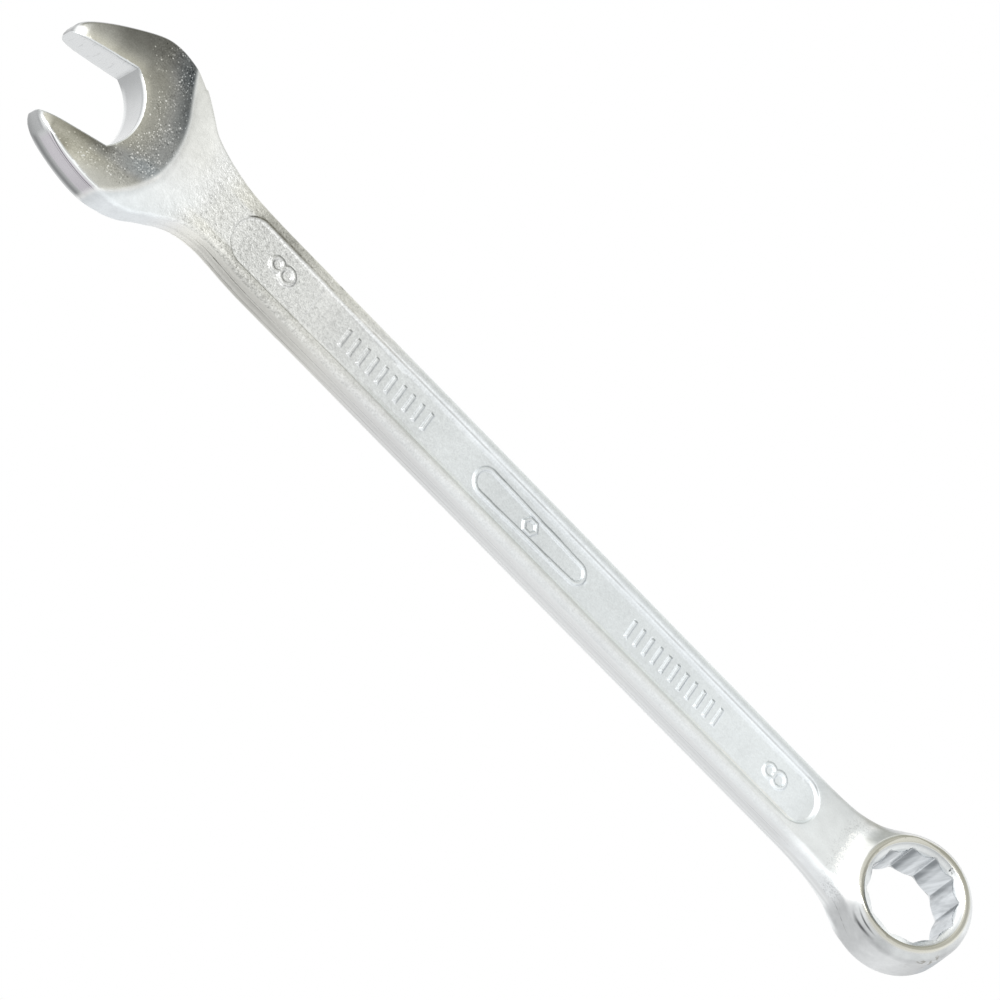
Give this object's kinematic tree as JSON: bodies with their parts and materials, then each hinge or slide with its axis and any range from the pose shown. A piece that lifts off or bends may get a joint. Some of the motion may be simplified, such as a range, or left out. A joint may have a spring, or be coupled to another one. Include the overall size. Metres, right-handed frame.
{
  "type": "combination wrench",
  "caption": "One-piece forged combination wrench: an open jaw turned 15 degrees at one end, an offset 12-point ring at the other, satin chrome with a sunk panel.",
  "frame": {"origin": "centre of the 12-point ring opening, midway through the ring", "axes": "+X along the shank from the ring towards the open jaw, +Z out of the face with the raised size numerals, +Y completes a right-handed set; the jaw's opening is turned 15 degrees from +X towards +Y"},
  "size_m": [0.1189, 0.0166, 0.0088],
  "materials": {
    "chrome_satin": "satin-blasted chrome plate on the shank and ring, polished faces on the jaw head, machined flats"
  },
  "bodies": {
    "root": {"wrench": "chrome_satin"}
  },
  "joints": []
}
